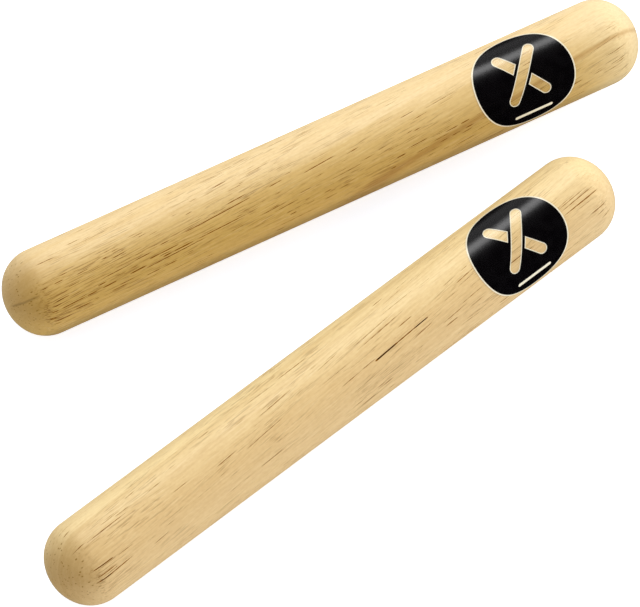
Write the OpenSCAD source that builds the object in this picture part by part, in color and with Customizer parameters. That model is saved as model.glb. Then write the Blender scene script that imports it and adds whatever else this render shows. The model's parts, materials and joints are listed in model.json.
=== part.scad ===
// Claves: a pair of turned hardwood sticks with rounded ends, each with a round label near one end.
// Frame: the origin is on the surface the pair lies on, under its middle. +Z is up and +X runs
// towards the labelled ends. The striker lies behind (+Y) and the resonator in front (-Y).

/* [Sticks] */
// Diameter of each stick
stick_d = 25.4; // [24:0.2:27]
// Overall length of each stick
stick_len = 200; // [180:1:220]
// How much shallower than a half ball each rounded end is, which also makes it blunter
end_flattening = 1; // [0.2:0.2:4]

/* [Layout] */
// Angle between the two sticks, which come closest at their labelled ends
splay = 12.7; // [4:0.1:14]
// How far the striker lies ahead of the resonator along X
stagger = 34.8; // [0:0.1:50]
// Distance along Y between the middles of the two sticks
spacing = 58; // [56:0.5:90]

/* [Labels] */
// Diameter of the dark disc, measured over the curve of the wood
disc_d = 30; // [28:0.5:32]
// Width of the light ring printed round the dark disc
ring_w = 0.4; // [0.3:0.05:1]
// Width of the clear film left showing outside the ring
film_rim = 0.2; // [0.1:0.1:1]
// Thickness of the clear film
film_t = 0.06; // [0.05:0.01:0.1]
// Thickness of the print on the film
print_t = 0.04; // [0.03:0.01:0.08]
// Distance from the middle of the striker's label to the nearer end of the stick
striker_inset = 38.8; // [34:0.1:60]
// Distance from the middle of the resonator's label to the nearer end of the stick
resonator_inset = 36.5; // [34:0.1:60]
// How far the striker's label is rolled from the top towards the front
striker_roll = 30.5; // [0:0.5:60]
// How far the resonator's label is rolled from the top towards the front
resonator_roll = 26; // [0:0.5:60]

/* [Emblem] */
// Length of each of the two crossed bars
bar_len = 19; // [14:0.5:20]
// Width of each of the two crossed bars
bar_w = 2.8; // [2:0.1:3.4]
// Angle of each crossed bar from the stick's length
bar_angle = 52; // [40:1:60]
// Height of the crossing above the middle of the label
cross_rise = 1.6; // [0.5:0.1:2.5]
// Gap between the front bar and the bar that passes behind it
cross_gap = 1.3; // [1:0.1:1.8]
// Width of the light line printed round the bars
line_w = 0.25; // [0.2:0.05:0.45]
// Length of the light dash under the bars
dash_len = 12; // [6:0.5:13]
// Width of the light dash under the bars
dash_w = 1.1; // [0.6:0.1:1.4]
// Distance of the light dash below the middle of the label
dash_drop = 10.9; // [10.4:0.1:11.5]

/* [Hidden] */
smooth = 96;
outline_steps = 72;
bar_steps = 20;
stick_r = stick_d / 2;
// A rounded end is two arcs that meet without a corner: a crown centred on the stick's axis, and a
// shoulder that runs on from the straight shank. The line through their centres passes through the
// point where they meet, and it is the long side of a triangle with sides of 3, 4 and 5 steps.
end_step = end_flattening / 2;
centre_shift = end_step * [3, 4];
shoulder_r = stick_r - centre_shift[0];
crown_r = shoulder_r + 5 * end_step;
crown_centre = [0, stick_len / 2 - crown_r];
shoulder_centre = crown_centre + centre_shift;
shank_half = shoulder_centre[1];
// A step along that line that ends outside both arcs
past_arcs = stick_r / 2 * [3, 4];
ring_d = disc_d + 2 * ring_w;
film_d = ring_d + 2 * film_rim;
label_cover = film_d + 2;
crossing = [0, cross_rise];
dash_middle = [0, -dash_drop];
wood = "burlywood";
clear_film = "ivory";
dark_ink = "#161416";
light_ink = "#efe6cf";

// Outline of a bar with round ends, centred on a place and turned from the X axis
function bar_outline(length, width, turn, place) = [
    for (i = [0 : bar_steps - 1])
        let (
            around = (i + 0.5) * 360 / bar_steps,
            shift = (length - width) / 2 * sign(cos(around)),
            x = shift + width / 2 * cos(around),
            y = width / 2 * sin(around)
        )
        [place[0] + x * cos(turn) - y * sin(turn), place[1] + x * sin(turn) + y * cos(turn)]
];

// Outline of a round disc
function disc_outline(diameter) = [
    for (i = [0 : outline_steps - 1])
        diameter / 2 * [cos(i * 360 / outline_steps), sin(i * 360 / outline_steps)]
];

// A flat outline as seen from straight above once it is wrapped over the stick
function wrapped(outline) = [
    for (point = outline) [point[0], stick_r * sin(point[1] / stick_r * 180 / PI)]
];

// Half of the stick's section, from its axis outwards
module stick_profile() {
    translate([0, -shank_half])
        square([stick_r, 2 * shank_half]);
    for (end = [0, 1])
        mirror([0, end]) {
            intersection() {
                translate(crown_centre)
                    circle(r = crown_r, $fn = smooth);
                polygon([crown_centre, crown_centre + past_arcs, crown_centre + [0, past_arcs[1]]]);
            }
            intersection() {
                translate(shoulder_centre)
                    circle(r = shoulder_r, $fn = smooth);
                polygon([shoulder_centre, shoulder_centre + [past_arcs[0], 0], shoulder_centre + past_arcs]);
            }
        }
}

// One turned stick, lying along X with its axis at the origin
module stick() {
    rotate([0, 90, 0])
        rotate_extrude($fn = smooth)
            stick_profile();
}

// A layer that follows the wood between two heights above it, cut to the outline of its children
module wrapped_layer(low, high) {
    intersection() {
        linear_extrude(stick_r + high)
            children();
        rotate([0, 90, 0])
            difference() {
                cylinder(r = stick_r + high, h = label_cover, center = true, $fn = smooth);
                cylinder(r = stick_r + low, h = label_cover + 2, center = true, $fn = smooth);
            }
    }
}

// One crossed bar, made wider all round by a margin
module crossed_bar(turn, margin) {
    polygon(wrapped(bar_outline(bar_len + 2 * margin, bar_w + 2 * margin, turn, crossing)));
}

// The two crossed bars with a gap where one passes behind the other, both wider by a margin
module emblem(margin) {
    crossed_bar(bar_angle, margin);
    difference() {
        crossed_bar(-bar_angle, margin);
        crossed_bar(bar_angle, cross_gap - margin);
    }
}

module dash() {
    polygon(wrapped(bar_outline(dash_len, dash_w, 0, dash_middle)));
}

// The clear film that carries the print
module label_film() {
    color(clear_film)
        wrapped_layer(0, film_t)
            polygon(wrapped(disc_outline(film_d)));
}

// The dark disc, left open at the emblem so that the wood shows through the film
module dark_print() {
    color(dark_ink)
        wrapped_layer(film_t, film_t + print_t)
            difference() {
                polygon(wrapped(disc_outline(disc_d)));
                emblem(line_w);
                dash();
            }
}

// The light ring round the disc, the light line round the emblem, and the dash under it
module light_print() {
    color(light_ink)
        wrapped_layer(film_t, film_t + print_t) {
            difference() {
                polygon(wrapped(disc_outline(ring_d)));
                polygon(wrapped(disc_outline(disc_d)));
            }
            difference() {
                emblem(line_w);
                emblem(0);
            }
            dash();
        }
}

// Puts a stick's parts where that stick lies: side is 1 for the striker and -1 for the resonator
module laid(side) {
    translate([side * stagger / 2, side * spacing / 2, stick_r])
        rotate([0, 0, -side * splay / 2])
            children();
}

// Puts a label near the +X end of its stick, rolled round the wood towards the front
module on_wood(inset, roll) {
    translate([stick_len / 2 - inset, 0, 0])
        rotate([roll, 0, 0])
            children();
}

module resonator_stick() {
    color(wood)
        laid(-1)
            stick();
}

module resonator_label_film() {
    laid(-1)
        on_wood(resonator_inset, resonator_roll)
            label_film();
}

module resonator_dark_print() {
    laid(-1)
        on_wood(resonator_inset, resonator_roll)
            dark_print();
}

module resonator_light_print() {
    laid(-1)
        on_wood(resonator_inset, resonator_roll)
            light_print();
}

module striker_stick() {
    color(wood)
        laid(1)
            stick();
}

module striker_label_film() {
    laid(1)
        on_wood(striker_inset, striker_roll)
            label_film();
}

module striker_dark_print() {
    laid(1)
        on_wood(striker_inset, striker_roll)
            dark_print();
}

module striker_light_print() {
    laid(1)
        on_wood(striker_inset, striker_roll)
            light_print();
}

resonator_stick();
resonator_label_film();
resonator_dark_print();
resonator_light_print();
striker_stick();
striker_label_film();
striker_dark_print();
striker_light_print();
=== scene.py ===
import json
import math

import bmesh
import bpy
import numpy as np
from mathutils import Matrix, Vector


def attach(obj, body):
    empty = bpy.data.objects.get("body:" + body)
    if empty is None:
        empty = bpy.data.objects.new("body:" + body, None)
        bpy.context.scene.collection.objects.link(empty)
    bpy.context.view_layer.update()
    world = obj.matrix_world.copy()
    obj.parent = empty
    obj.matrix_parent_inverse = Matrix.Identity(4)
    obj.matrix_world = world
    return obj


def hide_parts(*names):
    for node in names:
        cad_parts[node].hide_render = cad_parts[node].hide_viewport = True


# A pair of claves: two turned sticks of pale, open-pored hardwood, each with a round printed label.
# Every mesh is made with its stick's axis along X, and then laid where that stick lies.

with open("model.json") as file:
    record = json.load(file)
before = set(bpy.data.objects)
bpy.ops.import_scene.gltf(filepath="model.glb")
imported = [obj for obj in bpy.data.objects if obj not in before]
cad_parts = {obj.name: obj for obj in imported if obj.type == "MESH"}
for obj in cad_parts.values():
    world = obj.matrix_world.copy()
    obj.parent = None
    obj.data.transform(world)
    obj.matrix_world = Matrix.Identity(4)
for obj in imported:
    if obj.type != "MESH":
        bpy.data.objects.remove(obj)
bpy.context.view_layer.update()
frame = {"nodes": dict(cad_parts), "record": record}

MM = 0.001
TURN = 2 * math.pi
mounts = {m["name"]: m for m in frame["record"]["mounts"]}


# ---------------------------------------------------------------- camera, floor and light

# The camera stands far off with a long lens, looking down on the pair from the front left.
CAMERA_AZIMUTH = math.radians(-33.42)
CAMERA_ELEVATION = math.radians(62.48)
CAMERA_DISTANCE = 1.951
CAMERA_LENS = 387.2
LOOKS_AT = Vector((-0.00392, -0.00181, 0.0))


def towards(azimuth, elevation):
    """The unit vector that points from the object towards that azimuth and elevation."""
    flat = math.cos(elevation)
    return Vector((math.sin(azimuth) * flat, -math.cos(azimuth) * flat, math.sin(elevation)))


def add_camera():
    """A camera with a long lens, far enough off to see the pair almost without perspective."""
    data = bpy.data.cameras.new("camera")
    data.sensor_width = 36
    data.lens = CAMERA_LENS
    data.clip_start = 0.1
    data.clip_end = 60
    camera = bpy.data.objects.new("camera", data)
    back = towards(CAMERA_AZIMUTH, CAMERA_ELEVATION)
    camera.location = LOOKS_AT + back * CAMERA_DISTANCE
    camera.rotation_euler = (-back).to_track_quat("-Z", "Y").to_euler()
    bpy.context.scene.collection.objects.link(camera)
    bpy.context.scene.camera = camera


def add_softbox(name, azimuth, elevation, distance, width, height, radiance, glossy=True):
    """A soft light aimed at the middle of the pair. Width and height are the degrees that it fills,
    and radiance is how bright its face looks."""
    data = bpy.data.lights.new(name, "AREA")
    data.shape = "RECTANGLE"
    data.size = 2 * distance * math.tan(math.radians(width / 2))
    data.size_y = 2 * distance * math.tan(math.radians(height / 2))
    data.energy = radiance * math.pi * data.size * data.size_y
    light = bpy.data.objects.new(name, data)
    back = towards(math.radians(azimuth), math.radians(elevation))
    light.location = back * distance
    light.rotation_euler = (-back).to_track_quat("-Z", "Y").to_euler()
    light.visible_glossy = glossy
    bpy.context.scene.collection.objects.link(light)


def add_world():
    """A soft and slightly warm light from all round, which gloss doesn't mirror."""
    world = bpy.data.worlds.new("studio")
    world.use_nodes = True
    background = world.node_tree.nodes["Background"]
    background.inputs["Color"].default_value = (1.0, 0.985, 0.965, 1)
    background.inputs["Strength"].default_value = 0.65
    world.cycles_visibility.glossy = False
    bpy.context.scene.world = world


def add_floor():
    """A wide sheet of white paper. It glows a little, so that it stays white out where the light fades."""
    half = 15.0
    corners = [(-half, -half, 0), (half, -half, 0), (half, half, 0), (-half, half, 0)]
    mesh = bpy.data.meshes.new("floor")
    mesh.from_pydata(corners, [], [(0, 1, 2, 3)])
    floor = bpy.data.objects.new("floor", mesh)
    material = bpy.data.materials.new("floor_paper")
    material.use_nodes = True
    shader = material.node_tree.nodes["Principled BSDF"]
    shader.inputs["Base Color"].default_value = (0.8, 0.85, 0.9, 1)
    shader.inputs["Roughness"].default_value = 0.9
    shader.inputs["Specular IOR Level"].default_value = 0.1
    shader.inputs["Emission Color"].default_value = (0.96, 1.02, 1.18, 1)
    shader.inputs["Emission Strength"].default_value = 0.52
    mesh.materials.append(material)
    bpy.context.scene.collection.objects.link(floor)
    floor.visible_glossy = False


# ---------------------------------------------------------------- where each stick and label lies

class Stick:
    """A stick's place and sizes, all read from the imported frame."""

    def __init__(self, body):
        self.body = body
        shank = mounts[body + "_shank"]
        self.radius = shank["dims"]["r_mm"] * MM
        self.shank_half = shank["dims"]["length_mm"] * MM / 2
        along = -Vector(shank["axis"])
        heading = Matrix.Rotation(math.atan2(along.y, along.x), 4, "Z")
        self.matrix = Matrix.Translation(Vector(shank["pos_m"])) @ heading
        wood = self.local_points(body + "_stick")
        self.half_length = (wood[:, 0].max() - wood[:, 0].min()) / 2
        film = self.local_points(body + "_label_film")
        self.label_x = (film[:, 0].max() + film[:, 0].min()) / 2
        self.film_d = film[:, 0].max() - film[:, 0].min()
        rolls = np.arctan2(-film[:, 1], film[:, 2])
        self.label_roll = (rolls.max() + rolls.min()) / 2

    def local_points(self, node):
        """A CAD node's points with this stick's axis along X and its middle at the origin."""
        inverse = self.matrix.inverted()
        return np.array([inverse @ v.co for v in frame["nodes"][node].data.vertices])


# ---------------------------------------------------------------- wood grain

# How the grain of each stick runs and where its open pores lie. Lengths are in millimetres and angles
# in degrees. Places along a stick count from its middle towards the labelled end, and angles round the
# wood start at the top and grow towards the front.
GRAINS = {
    "striker": {
        "seed": 7,
        # How fast the grain climbs round the wood at the middle, and how that changes along the stick
        "slope": (0.09, 0.0006),
        # How far the grain lines sway
        "wander": 0.5,
        # The usual gap between two pores on a line, the shortest pore and the scatter above it, and
        # the narrowest and widest pore
        "pore_spacing": 14,
        "pore_length": (1.8, 2.2),
        "pore_width": (0.13, 0.34),
        # Places where the pores crowd: place, angle, reach along the stick and round it, strength
        "crowds": [
            (-80, 45, 32, 24, 0.72),
            (-88, 46, 9, 26, 0.35),
            (-30, 38, 36, 28, 0.24),
            (30, 60, 45, 25, 0.28),
        ],
        # Single long pores: start, end, angle at the start, strength, depth
        "long_pores": [
            (-63, -41, 56, 0.75, 0.12),
            (-48, -25, 32, 0.95, 0.12),
            (-33, -26, 20, 0.8, 0.1),
            (-63, -58, 37, 1.0, 0.14),
            (-55, -52, 34, 0.8, 0.1),
            (-69, -65, 23, 0.9, 0.1),
            (-68, -66, 28, 0.6, 0.1),
            (-74, -65, 44, 0.7, 0.1),
            (-84, -80, 34, 0.7, 0.1),
            (-89, -84, 45, 0.8, 0.12),
            (-90, -87, 50, 0.9, 0.12),
            (-70, -65, 59, 0.7, 0.1),
            (-9, 2, 26, 0.8, 0.1),
            (-20, -15, 23, 0.6, 0.1),
            (-3, 9, 47, 0.5, 0.1),
            (23, 28, 12, 0.7, 0.1),
            (79, 96, 36, 0.4, 0.1),
        ],
    },
    "resonator": {
        "seed": 11,
        "slope": (0.055, 0.0),
        "wander": 0.8,
        "pore_spacing": 12,
        "pore_length": (2.4, 2.4),
        "pore_width": (0.16, 0.32),
        "crowds": [
            (-88, 40, 14, 26, 0.2),
            (85, 25, 14, 24, 0.12),
            (20, 50, 60, 35, 0.12),
        ],
        "long_pores": [
            (9, 17, 36, 3.1, 0.3),
            (14, 27, 35, 0.7, 0.2),
            (24, 29, 33, 3.0, 0.3),
            (-89, -74, 5, 0.7, 0.1),
            (-83, -75, -4, 0.5, 0.1),
            (-92, -85, 36, 1.2, 0.15),
            (-84, -78, 38, 0.6, 0.1),
            (-92, -87, 56, 1.6, 0.2),
            (-88, -80, 54, 0.8, 0.1),
            (-37, -22, 30, 0.7, 0.1),
            (-28, -15, 4, 0.6, 0.1),
            (5, 22, 7, 0.5, 0.1),
            (6, 25, 11, 0.5, 0.1),
            (-8, 4, 19, 0.4, 0.1),
            (40, 49, 18, 0.5, 0.08),
            (41, 48, 23, 0.5, 0.08),
            (43, 49, 33, 0.4, 0.08),
            (-3, 12, 55, 0.4, 0.1),
            (74, 82, 9, 0.4, 0.08),
            (77, 86, 18, 0.4, 0.08),
            (76, 90, 22, 0.5, 0.08),
            (79, 92, 26, 0.6, 0.1),
            (79, 93, 30, 0.8, 0.12),
            (82, 90, 34, 0.4, 0.08),
        ],
    },
}

# The grain lines round a stick, the rows of points along its shank, and how far each line strays
# from its even place, as a share of the gap to the next
GRAIN_LINES = 128
SHANK_ROWS = 200
STRAY = 0.27
# The widest that a line's pores may be, as a share of the narrower gap beside it
WIDEST = 0.48
# Half the width of a long pore: the least, and how much its strength adds
LONG_PORE_HALF = (0.08, 0.06)
# The first and last places along a stick where a pore may start
FIRST_PORE = -100
LAST_PORE = 98
# The radius that the grain lines wind round, which is the same for both sticks
RADIUS = mounts["striker_shank"]["dims"]["r_mm"]
# The waves that the grain lines sway in: how many there are round the stick, how fast they turn along
# it, and where they start
WAVES = (2, 0.021, 0.4), (5, 0.047, 2.1), (9, -0.083, 4.4)


def lean(grain, x):
    """How far round the wood the grain has climbed at x, in millimetres, counted from the middle."""
    slope, bend = grain["slope"]
    return slope * x + bend * x * x / 2


def grain_angle(grain, x, start):
    """The angle round the wood, in radians, that a grain line with that start angle has at x."""
    sway = 0
    for i, (count, pace, phase) in enumerate(WAVES):
        sway = sway + np.sin(count * start + pace * x + phase + grain["seed"]) / (1 + i)
    return start - (lean(grain, x) + grain["wander"] * sway) / RADIUS


def pore_shape(t):
    """How open a pore is along its length, where t runs from 0 to 1."""
    inside = (t > 0) & (t < 1)
    return np.where(inside, np.sqrt(np.clip(np.sin(math.pi * np.clip(t, 0, 1)), 0, 1)), 0)


def open_pores(grain, rows, lines):
    """Strength and depth of the open pores, for each row along the stick and each grain line."""
    rng = np.random.default_rng(grain["seed"])
    strength = np.zeros((len(rows), len(lines)))
    depth = np.zeros_like(strength)

    def cut(line, start, end, dark, deep):
        """Opens a pore, whose strength ripples a little along its length."""
        shape = pore_shape((rows - start) / (end - start))
        ripple = 0.8 + 0.2 * np.sin(rows * 2.3 + line)
        strength[:, line] = np.maximum(strength[:, line], shape * ripple * dark)
        depth[:, line] = np.maximum(depth[:, line], shape * deep)

    # A line that carries a long pore has no short ones.
    long_pores = grain["long_pores"]
    long_lines = [line_through(grain, lines, start, angle) for start, _, angle, _, _ in long_pores]
    shortest, spread = grain["pore_length"]
    for line, start_angle in enumerate(lines):
        if line in long_lines:
            continue
        x = FIRST_PORE + rng.exponential(grain["pore_spacing"])
        while x < LAST_PORE:
            length = shortest + rng.gamma(1.5, spread)
            # Most short pores are faint. They are stronger and closer together in clumps and crowds.
            crowd = float(crowded(grain, x, grain_angle(grain, x, start_angle)))
            clump = math.sin(x * 0.11 + start_angle * 3)
            clump *= math.sin(x * 0.043 - start_angle * 5 + grain["seed"])
            dark = 0.08 + 0.5 * rng.random() ** 3 + 0.3 * max(clump, 0) + crowd
            dark = min(dark * rng.uniform(0.25, 1.3), 0.9)
            cut(line, x, x + length, dark, 0.04 + 0.05 * dark)
            x += length + rng.exponential(grain["pore_spacing"] / (1 + 9 * crowd))
    for line, (start, end, _, dark, deep) in zip(long_lines, long_pores):
        cut(line, start, end, dark, deep)
    return strength, depth


def line_through(grain, lines, x, angle):
    """The number of the grain line that passes nearest to that place."""
    there = grain_angle(grain, x, lines)
    apart = np.abs((there - math.radians(angle) + math.pi) % TURN - math.pi)
    return int(np.argmin(apart))


def crowded(grain, x, angle):
    """How thickly the open pores stand there: 0 is the usual spacing and 1 is packed."""
    total = 0.0
    for at, round_at, reach, round_reach, strength in grain["crowds"]:
        turn = (np.degrees(angle) - round_at + 180) % 360 - 180
        total = total + strength * np.exp(-((x - at) / reach) ** 2 - (turn / round_reach) ** 2)
    return total


# ---------------------------------------------------------------- stick shape

# The points down each of the two arcs of a rounded end
SHOULDER_STEPS = 12
CROWN_STEPS = 9


def end_profile(stick):
    """Points down a rounded end, past the shank's edge and up to the pole. Each is the distance along
    the axis, the radius, and how squarely the surface faces along the axis.

    The end is a shoulder arc and a crown arc whose centres stand on a triangle of 3, 4 and 5 steps.
    """
    step = (stick.radius - (stick.half_length - stick.shank_half)) / 2
    shoulder = stick.radius - 3 * step
    crown = shoulder + 5 * step
    meet = math.atan2(3, 4)
    points = []
    for i in range(1, SHOULDER_STEPS + 1):
        a = math.pi / 2 + (meet - math.pi / 2) * i / SHOULDER_STEPS
        x = stick.shank_half + shoulder * math.cos(a)
        points.append((x, 3 * step + shoulder * math.sin(a), math.cos(a)))
    for i in range(1, CROWN_STEPS):
        a = meet * (1 - i / CROWN_STEPS)
        x = stick.half_length - crown + crown * math.cos(a)
        points.append((x, crown * math.sin(a), math.cos(a)))
    return points


def grain_lines(stick, grain):
    """The start angle of each grain line, and half the angle that its pores span."""
    rng = np.random.default_rng(grain["seed"] + 100)
    stray = rng.uniform(-STRAY, STRAY, GRAIN_LINES)
    lines = (np.arange(GRAIN_LINES) + stray) * (TURN / GRAIN_LINES)
    half = rng.uniform(*grain["pore_width"], GRAIN_LINES) / 2 * MM / stick.radius
    least, more = LONG_PORE_HALF
    # Two long pores may share a line, and then the stronger one sets its width.
    for start, _, angle, dark, _ in sorted(grain["long_pores"], key=lambda pore: pore[3]):
        half[line_through(grain, lines, start, angle)] = (least + more * dark) * MM / stick.radius
    gap = (np.roll(lines, -1) - lines) % TURN
    return lines, np.minimum(half, WIDEST * np.minimum(gap, np.roll(gap, 1)))


def round_points(x, radius, angle, half_length):
    """Points at those places along the axis, distances from it and angles round it, then two poles."""
    points = np.stack([x, -radius * np.sin(angle), radius * np.cos(angle)], -1).reshape(-1, 3)
    return np.vstack([points, [(-half_length, 0, 0), (half_length, 0, 0)]])


def round_faces(rows, around):
    """The faces of a closed round form whose points are numbered row by row and then have two poles."""
    index = np.arange(rows * around).reshape(rows, around)
    here, there = index[:-1], index[1:]
    quads = np.stack([here, np.roll(here, -1, 1), np.roll(there, -1, 1), there], -1).reshape(-1, 4)
    faces = [tuple(q) for q in quads.tolist()]
    left, right = rows * around, rows * around + 1
    for j in range(around):
        k = (j + 1) % around
        faces.append((left, int(index[0, k]), int(index[0, j])))
        faces.append((right, int(index[-1, j]), int(index[-1, k])))
    return faces


def add_attribute(mesh, name, kind, field, values):
    mesh.attributes.new(name, kind, "POINT").data.foreach_set(field, values.astype(np.float32))


def build_stick(stick):
    """A turned stick with its open pores cut in. Each grain line is three points wide: the middle
    ones are the bottom of its pores, and the outer ones are their edges.

    The points also carry what the wood's material needs: how open the pore is (pore), how far it is
    from the pore's middle to its edge (across), how busy the pores are round it (stain), how squarely
    the grain is cut (end_cut), and where the point would be if the grain ran straight (straight).
    """
    grain = GRAINS[stick.body]
    end = end_profile(stick)
    step = 2 * stick.shank_half / SHANK_ROWS
    shank = [(-stick.shank_half + step * i, stick.radius, 0) for i in range(SHANK_ROWS + 1)]
    profile = np.array([(-x, r, c) for x, r, c in reversed(end)] + shank + end)
    rows = profile[:, 0] / MM
    lines, half = grain_lines(stick, grain)
    starts = np.stack([lines - half, lines, lines + half], 1).ravel()
    around = len(starts)
    strength, depth = open_pores(grain, rows, lines)
    # Pores run straight on through the wood, so they fade out where the surface turns down the ends.
    on_side = np.clip((0.55 - np.abs(profile[:, 2:3])) / 0.3, 0, 1)
    strength, depth = strength * on_side, depth * on_side

    start_grid, x_grid = np.meshgrid(starts, rows)
    angle = grain_angle(grain, x_grid, start_grid)
    groove = np.zeros((len(rows), around))
    groove[:, 1::3] = depth * MM
    radius = profile[:, 1:2].repeat(around, 1)
    cut_radius = radius - groove * (radius / stick.radius)
    x = profile[:, 0:1].repeat(around, 1)
    points = round_points(x, cut_radius, angle, stick.half_length)
    mesh = bpy.data.meshes.new(stick.body + "_wood")
    mesh.from_pydata(points.tolist(), [], round_faces(len(rows), around))
    mesh.polygons.foreach_set("use_smooth", [True] * len(mesh.polygons))

    def carry(name, grid, at_poles):
        add_attribute(mesh, name, "FLOAT", "value", np.append(grid.ravel(), [at_poles, at_poles]))

    carry("pore", strength.repeat(3, 1), 0)
    carry("across", np.tile([1.0, 0.0, 1.0], (len(rows), len(lines))), 1)
    carry("stain", crowded(grain, x_grid, angle), 0)
    carry("end_cut", np.abs(profile[:, 2:3]).repeat(around, 1), 1)
    straight = round_points(x_grid, radius / MM, start_grid, stick.half_length / MM)
    add_attribute(mesh, "straight", "FLOAT_VECTOR", "vector", straight.ravel())
    return mesh


# ---------------------------------------------------------------- label shapes

# The dark disc and the light ring round it
DISC_D = 30 * MM
RING_W = 0.4 * MM
# The two crossed bars, the height of their crossing above the disc's middle, the gap where one passes
# behind the other, and the light line round them
BAR_LEN = 19 * MM
BAR_W = 2.8 * MM
BAR_ANGLE = math.radians(52)
CROSS_RISE = 1.6 * MM
CROSS_GAP = 1.3 * MM
LINE_W = 0.25 * MM
# The dash below them
DASH_LEN = 12 * MM
DASH_W = 1.1 * MM
DASH_DROP = 10.9 * MM
# The thickness of the clear film and of the print on it, and the hair's breadth that keeps each one
# off what it lies on
FILM_T = 0.06 * MM
PRINT_T = 0.04 * MM
FILM_GAP = 0.01 * MM
PRINT_GAP = 0.005 * MM
# The width of the flat strips that a layer is cut into so that it can bend round the wood
STRIP_W = 0.45 * MM


def circle(diameter, steps=180):
    radius = diameter / 2
    angles = [TURN * i / steps for i in range(steps)]
    return [Vector((radius * math.cos(a), radius * math.sin(a))) for a in angles]


def bar(length, width, turn, middle, steps=48):
    """The outline of a bar with round ends."""
    points = []
    for i in range(steps):
        a = (i + 0.5) * TURN / steps
        shift = math.copysign((length - width) / 2, math.cos(a))
        point = Vector((shift + width / 2 * math.cos(a), width / 2 * math.sin(a)))
        point.rotate(Matrix.Rotation(turn, 2))
        points.append(point + middle)
    return points


def clipped(outline, normal, reach):
    """The part of a convex outline whose distance along normal is more than reach."""
    kept = []
    for a, b in zip(outline, outline[1:] + outline[:1]):
        da, db = a.dot(normal) - reach, b.dot(normal) - reach
        if da >= 0:
            kept.append(a)
        if (da >= 0) != (db >= 0):
            kept.append(a.lerp(b, da / (da - db)))
    return kept


def emblem(margin):
    """The front bar and the two halves of the bar behind it, all wider by a margin."""
    middle = Vector((0, CROSS_RISE))
    front = bar(BAR_LEN + 2 * margin, BAR_W + 2 * margin, BAR_ANGLE, middle)
    rear = bar(BAR_LEN + 2 * margin, BAR_W + 2 * margin, -BAR_ANGLE, middle)
    across = Vector((-math.sin(BAR_ANGLE), math.cos(BAR_ANGLE)))
    edge = BAR_W / 2 + CROSS_GAP - margin
    return [
        front,
        clipped(rear, across, middle.dot(across) + edge),
        clipped(rear, -across, -middle.dot(across) + edge),
    ]


def dash():
    return bar(DASH_LEN, DASH_W, 0, Vector((0, -DASH_DROP)))


def wrapped_layer(name, stick, regions, low, high):
    """A thin layer that follows the wood between two heights above it. Each of its flat regions is
    given as an outline and its holes."""
    bm = bmesh.new()
    for loops in regions:
        edges = []
        for loop in loops:
            verts = [bm.verts.new((p.x, p.y, 0)) for p in loop]
            edges += [bm.edges.new((a, b)) for a, b in zip(verts, verts[1:] + verts[:1])]
        bmesh.ops.triangle_fill(bm, use_beauty=True, use_dissolve=False, edges=edges, normal=(0, 0, 1))
    cuts = int(stick.film_d / STRIP_W / 2) + 1
    for i in range(-cuts, cuts + 1):
        cut_at = (0, i * STRIP_W, 0)
        geometry = bm.verts[:] + bm.edges[:] + bm.faces[:]
        bmesh.ops.bisect_plane(bm, geom=geometry, dist=1e-8, plane_co=cut_at, plane_no=(0, 1, 0))
    for face in bm.faces:
        if face.normal.z < 0:
            face.normal_flip()
    base = bmesh.ops.extrude_face_region(bm, geom=bm.faces[:])
    raised = {v for v in base["geom"] if isinstance(v, bmesh.types.BMVert)}
    for v in bm.verts:
        u, arc = v.co.x, v.co.y
        height = stick.radius + (high if v in raised else low)
        turn = stick.label_roll - arc / stick.radius
        v.co = (stick.label_x + u, -height * math.sin(turn), height * math.cos(turn))
    bmesh.ops.recalc_face_normals(bm, faces=bm.faces)
    mesh = bpy.data.meshes.new(name)
    bm.to_mesh(mesh)
    bm.free()
    mesh.polygons.foreach_set("use_smooth", [True] * len(mesh.polygons))
    mesh.set_sharp_from_angle(angle=math.radians(40))
    return mesh


def film_regions(stick):
    return [[circle(stick.film_d)]]


def dark_regions():
    return [[circle(DISC_D)] + emblem(LINE_W) + [dash()]]


def light_regions():
    ring = [circle(DISC_D + 2 * RING_W), circle(DISC_D)]
    lines = [[outer, inner] for outer, inner in zip(emblem(LINE_W), emblem(0))]
    return [ring] + lines + [[dash()]]


# ---------------------------------------------------------------- materials

def srgb(red, green, blue):
    """A colour given as the eye sees it, from 0 to 255, as the linear values that shaders take."""
    def linear(c):
        return ((c / 255 + 0.055) / 1.055) ** 2.4 if c > 10 else c / 255 / 12.92

    return linear(red), linear(green), linear(blue)


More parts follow.
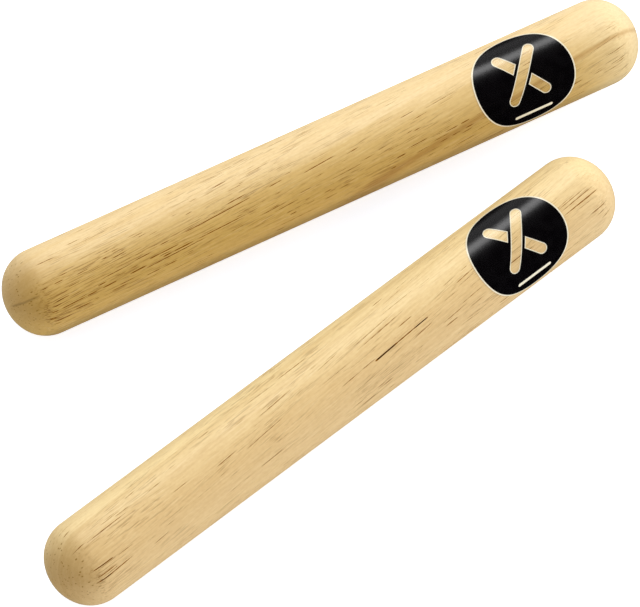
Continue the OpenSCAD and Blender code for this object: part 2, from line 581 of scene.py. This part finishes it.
class Shader:
    """A short way to write a node material around one Principled shader."""

    def __init__(self, name):
        self.material = bpy.data.materials.new(name)
        self.material.use_nodes = True
        self.tree = self.material.node_tree
        self.surface = self.tree.nodes["Principled BSDF"]

    def put(self, socket, value):
        """Feeds an input with another node's output or with a plain value."""
        if isinstance(value, bpy.types.NodeSocket):
            self.tree.links.new(value, socket)
        elif socket.type == "RGBA":
            socket.default_value = (*value, 1)
        else:
            socket.default_value = value

    def node(self, kind, output, inputs, **settings):
        """Adds a node, feeds its inputs, and gives one of its outputs."""
        node = self.tree.nodes.new("ShaderNode" + kind)
        for key, value in settings.items():
            setattr(node, key, value)
        for key, value in inputs.items():
            self.put(node.inputs[key], value)
        return node.outputs[output]

    def attribute(self, name, output="Fac"):
        return self.node("Attribute", output, {}, attribute_name=name)

    def math(self, operation, a, b=0.0):
        return self.node("Math", 0, {0: a, 1: b}, operation=operation)

    def vector(self, operation, a, b):
        output = "Value" if operation in ("DOT_PRODUCT", "DISTANCE") else "Vector"
        return self.node("VectorMath", output, {0: a, 1: b}, operation=operation)

    def noise(self, place, scale=1.0, detail=2.0, roughness=0.5):
        inputs = {"Vector": place, "Scale": scale, "Detail": detail, "Roughness": roughness}
        return self.node("TexNoise", 0, inputs, noise_dimensions="3D")

    def line_noise(self, place, scale=1.0, detail=2.0, roughness=0.5):
        inputs = {"W": place, "Scale": scale, "Detail": detail, "Roughness": roughness}
        return self.node("TexNoise", 0, inputs, noise_dimensions="1D")

    def fade(self, value, low, high, to_low=0.0, to_high=1.0):
        """to_low below low, to_high above high, and a smooth change between them."""
        inputs = {"Value": value, "From Min": low, "From Max": high, "To Min": to_low, "To Max": to_high}
        return self.node("MapRange", 0, inputs, interpolation_type="SMOOTHSTEP")

    def mix(self, factor, a, b, blend="MIX"):
        """Colour a where the factor is 0 and b, blended with a, where it is 1."""
        # Inputs 6 and 7 and output 2 are the ones that a Mix node uses for colours.
        inputs = {"Factor": factor, 6: a, 7: b}
        return self.node("Mix", 2, inputs, data_type="RGBA", blend_type=blend)

    def set(self, **values):
        """Sets inputs of the Principled shader, named with a line for each space."""
        for key, value in values.items():
            self.put(self.surface.inputs[key.replace("_", " ")], value)

    def replace_surface(self, shader):
        """Puts another shader in the place of the Principled one."""
        self.tree.links.new(shader, self.tree.nodes["Material Output"].inputs["Surface"])
        self.tree.nodes.remove(self.surface)


# How far, in millimetres, each stick lay from the heart of its tree, round which the growth layers curve.
TREE_R = 70

# A fine drying crack in an end: the angle round the wood that it points to, how far it passes to the
# side of the axis, how far from the axis it starts, and the places along the stick where it comes in.
CRACK_ANGLE = 32.5
CRACK_OFFSET = -0.5
CRACK_START = 4.0
CRACK_FROM = (-91, -94)

# The angle round the wood that the painted shade low on the front faces, and how far that way it comes in.
# It darkens the wood where shade falls low on the front, and is not a colour of the wood itself.
PAINTED_SHADE_SIDE = 112
PAINTED_SHADE_FROM = (10.8, 12.6)

# The places along the stick between which the labelled end is painted paler, a painted light for the light
# that falls on that end from the right.
PAINTED_LIGHT_FROM = (72, 98)

# The colours that both woods share. The first is painted shade low on the front, and the second is a
# painted light on the labelled end.
PAINTED_SHADE = srgb(128, 104, 52)
PAINTED_LIGHT_TIP = srgb(252, 232, 186)
GROWTH_LINE = srgb(196, 160, 88)
FIBRE_DARK = srgb(186, 140, 66)
FIBRE_PALE = srgb(255, 236, 186)
FAINT_MARK = srgb(142, 99, 32)
PORE_STAIN = srgb(180, 142, 62)
MOTTLE = srgb(200, 160, 104)
END_GRAIN = srgb(168, 126, 44)
PORE_DOT = srgb(134, 98, 34)
CRACK = srgb(134, 100, 34)
PORE = srgb(156, 117, 34)
PORE_CORE = srgb(76, 44, 6)

# How the colours of each stick lie. Each strength runs from 0, where there is none of it, to 1.
WOODS = {
    "striker": {
        "pale": srgb(239, 212, 159),
        "tan": srgb(234, 204, 146),
        # The deeper colour, the angle round the wood that it faces, and how far that way it comes in. It
        # is partly the wood's own deeper colour and partly painted shade on the front, away from the key
        # light, so the pale and the deep colour are in part a lit and a shaded copy of one wood.
        "deep": srgb(205, 168, 87),
        "deep_and_shade_side": 85,
        "deep_and_shade_from": (-4.5, 13.0),
        # The side of the stick that faces out of the tree, and how the growth layers lean along it
        "layer_side": 110,
        "layer_tilt": 0.11,
        # The strengths of the painted shade low on the front and of the painted light that makes the
        # labelled end paler
        "painted_shade_dark": 0.42,
        "painted_light_tip": 0.5,
        # The growth layer that shows as a darker line, and its strength
        "streak_at": 14.3,
        "streak_dark": 0.5,
        # The middle of the dark patch on the left end
        "patch": (-97, -2, 10),
        "crack_dark": 0.6,
    },
    "resonator": {
        "pale": srgb(244, 219, 162),
        "tan": srgb(230, 201, 142),
        "deep": srgb(224, 191, 134),
        "deep_and_shade_side": 100,
        "deep_and_shade_from": (-9.0, 7.5),
        "layer_side": 60,
        "layer_tilt": 0.05,
        "painted_shade_dark": 0.0,
        "painted_light_tip": 0.2,
        "streak_at": 31.5,
        "streak_dark": 0.0,
        "patch": (-98, -1, 7),
        "crack_dark": 0.0,
    },
}


def side(angle, along=0.0):
    """A direction across the stick, at an angle round the wood, with some of the stick's own axis."""
    a = math.radians(angle)
    return (along, -math.sin(a), math.cos(a))


def growth_layer(s, look, lying, drift):
    """How far beyond TREE_R from the heart of the tree the wood grew, in millimetres."""
    heart = [-TREE_R * c for c in side(look["layer_side"])]
    section = s.vector("MULTIPLY", lying, (0.0, 1.0, 1.0))
    layer = s.vector("DISTANCE", section, heart)
    layer = s.math("ADD", layer, s.vector("DOT_PRODUCT", lying, (look["layer_tilt"], 0.0, 0.0)))
    return s.math("ADD", s.math("SUBTRACT", layer, TREE_R), s.math("MULTIPLY", drift, 3.0))


def broad_colour(s, look, lying, layer, along, end_cut):
    """Pale on one side of the stick and deeper on the other, partly the wood's own colour and partly
    painted shade on the front, away from the key light. This is broken up by soft bands that follow the
    growth layers, with painted shade low on the front and the labelled end painted paler, a painted light
    for the light from the right."""
    bands = s.line_noise(layer, 0.28, detail=3, roughness=0.6)
    deep_and_shade_way = s.vector("DOT_PRODUCT", lying, side(look["deep_and_shade_side"], -0.02))
    sway = s.math("MULTIPLY", s.math("SUBTRACT", bands, 0.5), s.fade(end_cut, 0.2, 0.7, 2.5, 0.8))
    deep_and_shade_way = s.math("ADD", deep_and_shade_way, sway)
    banded = s.math("MULTIPLY", s.fade(bands, 0.35, 0.7), s.fade(end_cut, 0.2, 0.7, 1.0, 0.4))
    colour = s.mix(banded, look["pale"], look["tan"])
    # Partly the wood's own deeper colour and partly painted shade on the front, away from the key light.
    colour = s.mix(s.fade(deep_and_shade_way, *look["deep_and_shade_from"]), colour, look["deep"])
    # Painted shade: the wood is darkened low on the front, where shade falls.
    under = s.vector("DOT_PRODUCT", lying, side(PAINTED_SHADE_SIDE))
    colour = s.mix(s.fade(under, *PAINTED_SHADE_FROM, 0.0, look["painted_shade_dark"]), colour, PAINTED_SHADE)
    # Painted light: the labelled end is made paler, as if the light from the right falls on it.
    return s.mix(s.fade(along, *PAINTED_LIGHT_FROM, 0.0, look["painted_light_tip"]), colour, PAINTED_LIGHT_TIP)


def growth_line(s, look, layer, drift, colour):
    """One darker line in the growth layers, stronger in some places than in others."""
    off_line = s.math("ABSOLUTE", s.math("SUBTRACT", layer, look["streak_at"]))
    line = s.fade(off_line, 0.0, 1.3, look["streak_dark"], 0.0)
    lined = s.math("MULTIPLY", line, s.fade(drift, 0.35, 0.6, 0.5, 1.0))
    return s.mix(lined, colour, GROWTH_LINE, "MULTIPLY")


def fibres(s, straight, lying, fibre, stain, end_cut, colour):
    """Fine streaks along the grain, short faint marks between the open pores, the brown that busy
    pores give the wood round them, and a faint mottle where light catches the short fibres."""
    colour = s.mix(s.fade(fibre, 0.45, 0.75, 0.0, 0.16), colour, FIBRE_DARK)
    colour = s.mix(s.fade(fibre, 0.5, 0.25, 0.0, 0.2), colour, FIBRE_PALE)
    marks = s.noise(s.vector("MULTIPLY", straight, (0.16, 3.2, 3.2)), detail=2)
    clumps = s.noise(s.vector("MULTIPLY", straight, (0.05, 0.25, 0.25)), detail=1)
    busy = s.math("ADD", s.fade(clumps, 0.45, 0.62, 0.04, 0.4), s.math("MULTIPLY", stain, 0.9))
    marked = s.math("MULTIPLY", s.fade(marks, 0.53, 0.64), busy)
    side_only = s.fade(end_cut, 0.25, 0.6, 1.0, 0.0)
    colour = s.mix(s.math("MULTIPLY", marked, side_only), colour, FAINT_MARK)
    blots = s.noise(s.vector("MULTIPLY", straight, (0.09, 0.6, 0.6)), detail=3, roughness=0.6)
    stained = s.math("MULTIPLY", s.fade(stain, 0.0, 0.8), s.fade(blots, 0.38, 0.62, 0.08, 0.38))
    colour = s.mix(stained, colour, PORE_STAIN)
    mottle = s.noise(s.vector("MULTIPLY", lying, (0.8, 1.3, 1.3)), detail=2)
    return s.mix(s.fade(mottle, 0.35, 0.7, 0.0, 0.1), colour, MOTTLE, "MULTIPLY")


def end_grain(s, look, straight, lying, layer, patch, end_cut, colour):
    """The cut grain of the ends, darker in a patch on the crown, where every pore shows as a dot.
    Gives the colour, and how much of a dot there is."""
    across = s.vector("MULTIPLY", straight, (0.03, 1.0, 1.0))
    cells = s.node("TexVoronoi", "Distance", {"Vector": across, "Scale": 1.15, "Randomness": 1.0})
    size = s.node("SeparateColor", "Red", {"Color": cells.node.outputs["Color"]})
    dots = s.math("DIVIDE", cells, s.math("ADD", s.math("MULTIPLY", size, 0.8), 0.2))
    near = s.vector("DISTANCE", lying, look["patch"])
    near = s.math("ADD", near, s.math("MULTIPLY", s.math("SUBTRACT", patch, 0.5), 8.0))
    cut = s.fade(end_cut, 0.0, 0.5, 0.5, 1.0)
    in_patch = s.math("MULTIPLY", cut, s.fade(near, 2.0, 20.0, 0.6, 0.0))
    ended = s.math("ADD", in_patch, s.fade(end_cut, 0.5, 1.0, 0.0, 0.12))
    rings = s.line_noise(layer, 1.2, detail=2)
    ended = s.math("MULTIPLY", ended, s.fade(rings, 0.3, 0.65, 0.92, 1.06))
    colour = s.mix(ended, colour, END_GRAIN)
    dotted = s.math("MULTIPLY", s.fade(dots, 0.16, 0.34, 0.75, 0.0), s.fade(end_cut, 0.12, 0.35))
    dotted = s.math("MULTIPLY", dotted, s.fade(near, 6.0, 16.0, 1.0, 0.35))
    return s.mix(dotted, colour, PORE_DOT), dotted


def drying_crack(s, look, lying, patch, along, colour):
    """A fine drying crack in the left end."""
    off_crack = s.vector("DOT_PRODUCT", lying, side(CRACK_ANGLE + 90))
    off_crack = s.math("SUBTRACT", off_crack, CRACK_OFFSET)
    off_crack = s.math("ABSOLUTE", s.math("ADD", off_crack, s.math("SUBTRACT", patch, 0.5)))
    outwards = s.vector("DOT_PRODUCT", lying, side(CRACK_ANGLE))
    cracked = s.fade(off_crack, 0.05, 0.5, look["crack_dark"], 0.0)
    cracked = s.math("MULTIPLY", cracked, s.fade(along, *CRACK_FROM))
    cracked = s.math("MULTIPLY", cracked, s.fade(outwards, CRACK_START, CRACK_START + 2))
    return s.mix(cracked, colour, CRACK)


def pore_colour(s, colour):
    """Brown in the open pores, nearly black in the deepest. Gives the colour, and how open it is."""
    pore = s.attribute("pore")
    across = s.attribute("across")
    width = s.math("MINIMUM", s.math("ADD", s.math("MULTIPLY", pore, 1.1), 0.15), 0.9)
    inside = s.fade(s.math("SUBTRACT", width, across), -0.1, 0.2)
    opened = s.math("MULTIPLY", inside, s.fade(pore, 0.0, 0.45))
    colour = s.mix(opened, colour, PORE, "MULTIPLY")
    core = s.fade(across, 0.75, 1.0, 1.0, 0.0)
    return s.mix(s.math("MULTIPLY", core, s.fade(pore, 0.8, 1.4)), colour, PORE_CORE), opened


def hardwood(body):
    """Lacquered hardwood. All of its patterns are measured in millimetres."""
    look = WOODS[body]
    s = Shader(body + "_hardwood")
    lying = s.attribute("lying", "Vector")
    straight = s.attribute("straight", "Vector")
    end_cut = s.attribute("end_cut")
    stain = s.attribute("stain")
    along = s.vector("DOT_PRODUCT", lying, (1.0, 0.0, 0.0))
    drift = s.noise(s.vector("MULTIPLY", lying, (0.02, 0.1, 0.1)), detail=2)
    fibre = s.noise(s.vector("MULTIPLY", straight, (0.1, 2.0, 2.0)), detail=3, roughness=0.7)
    patch = s.noise(lying, 0.2, detail=2)
    layer = growth_layer(s, look, lying, drift)

    colour = broad_colour(s, look, lying, layer, along, end_cut)
    colour = growth_line(s, look, layer, drift, colour)
    colour = fibres(s, straight, lying, fibre, stain, end_cut, colour)
    colour, dotted = end_grain(s, look, straight, lying, layer, patch, end_cut, colour)
    colour = drying_crack(s, look, lying, patch, along, colour)
    colour, opened = pore_colour(s, colour)

    # The lacquer's gloss breaks up over the fibres, and there is none in an open pore.
    closed = s.math("SUBTRACT", 1.0, s.math("MAXIMUM", opened, dotted))
    height = s.math("MULTIPLY", fibre, 0.02)
    bump = s.node("Bump", "Normal", {"Height": height, "Distance": MM, "Strength": 0.5})
    s.set(Base_Color=colour, Roughness=s.fade(fibre, 0.2, 0.8, 0.46, 0.6), Normal=bump)
    s.set(Specular_IOR_Level=s.math("MULTIPLY", closed, 0.45))
    s.set(Coat_Weight=s.math("MULTIPLY", closed, 0.18), Coat_Roughness=0.4)
    return s.material


def dark_ink(body):
    """Black print with a slightly uneven gloss."""
    s = Shader(body + "_dark_ink")
    lying = s.attribute("lying", "Vector")
    cloud = s.noise(lying, 0.35, detail=3)
    dust = s.noise(lying, 6.0, detail=1)
    colour = s.mix(s.fade(cloud, 0.3, 0.7), srgb(5, 3, 5), srgb(10, 8, 10))
    s.set(Base_Color=colour, Roughness=s.fade(dust, 0.3, 0.8, 0.24, 0.31), Specular_IOR_Level=0.4)
    return s.material


def light_ink(body):
    """Cream print with a faint speckle."""
    s = Shader(body + "_light_ink")
    lying = s.attribute("lying", "Vector")
    speck = s.noise(lying, 3.0, detail=3)
    colour = s.mix(s.fade(speck, 0.3, 0.7), srgb(226, 216, 188), srgb(240, 232, 208))
    s.set(Base_Color=colour, Roughness=0.28)
    return s.material


def clear_back(body):
    """The underside of the film, which is stuck down and so has no gloss."""
    s = Shader(body + "_film_back")
    s.replace_surface(s.node("BsdfTransparent", 0, {"Color": (1, 1, 1)}))
    return s.material


def clear_film(body):
    """A clear film: see-through, with only its gloss added."""
    s = Shader(body + "_clear_film")
    gloss = s.node("BsdfGlossy", 0, {"Roughness": 0.2})
    clear = s.node("BsdfTransparent", 0, {"Color": (1, 1, 1)})
    facing = s.node("LayerWeight", "Facing", {"Blend": 0.5})
    shine = s.math("ADD", s.math("MULTIPLY", s.math("POWER", facing, 5.0), 0.5), 0.03)
    s.replace_surface(s.node("MixShader", 0, {0: shine, 1: clear, 2: gloss}))
    return s.material


# ---------------------------------------------------------------- assembly

def place(mesh, stick, nodes, material, slot):
    """Lays a mesh where its stick lies. Each point keeps its place along the stick, in millimetres."""
    lying = np.empty(3 * len(mesh.vertices))
    mesh.vertices.foreach_get("co", lying)
    add_attribute(mesh, "lying", "FLOAT_VECTOR", "vector", lying / MM)
    mesh.transform(stick.matrix)
    mesh.update()
    piece = bpy.data.objects.new(mesh.name, mesh)
    bpy.context.scene.collection.objects.link(piece)
    mesh.materials.append(material)
    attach(piece, stick.body)
    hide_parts(nodes)
    return piece


bpy.context.scene.view_settings.view_transform = "Standard"
add_camera()
add_world()
add_floor()
# A key light high behind the sticks, a rim light low behind them, and two fills at the side and front.
add_softbox("key", 157, 52, 1.6, 32, 17, 7.0)
add_softbox("rim", 165, 18, 1.8, 80, 24, 0.6)
add_softbox("right", 80, 30, 1.6, 50, 40, 1.9, glossy=False)
add_softbox("front", 10, 20, 1.8, 70, 30, 0.7, glossy=False)

for body in ("striker", "resonator"):
    stick = Stick(body)
    wood = place(build_stick(stick), stick, body + "_stick", hardwood(body), "hardwood")
    # The other stick isn't mirrored in the labels.
    wood.visible_glossy = False

    # The film is clear and glossy outside. Its faces that are stuck down have no gloss.
    film = wrapped_layer(body + "_film", stick, film_regions(stick), FILM_GAP, FILM_T)
    for face in film.polygons:
        outward = Vector((0, face.center.y, face.center.z)).dot(face.normal)
        face.material_index = 0 if outward > 0 else 1
    place(film, stick, body + "_label_film", clear_film(body), "label_film")
    film.materials.append(clear_back(body))

    low, high = FILM_T + PRINT_GAP, FILM_T + PRINT_T
    dark = wrapped_layer(body + "_dark", stick, dark_regions(), low, high)
    place(dark, stick, body + "_dark_print", dark_ink(body), "dark_ink")
    light = wrapped_layer(body + "_light", stick, light_regions(), low, high)
    place(light, stick, body + "_light_print", light_ink(body), "light_ink")
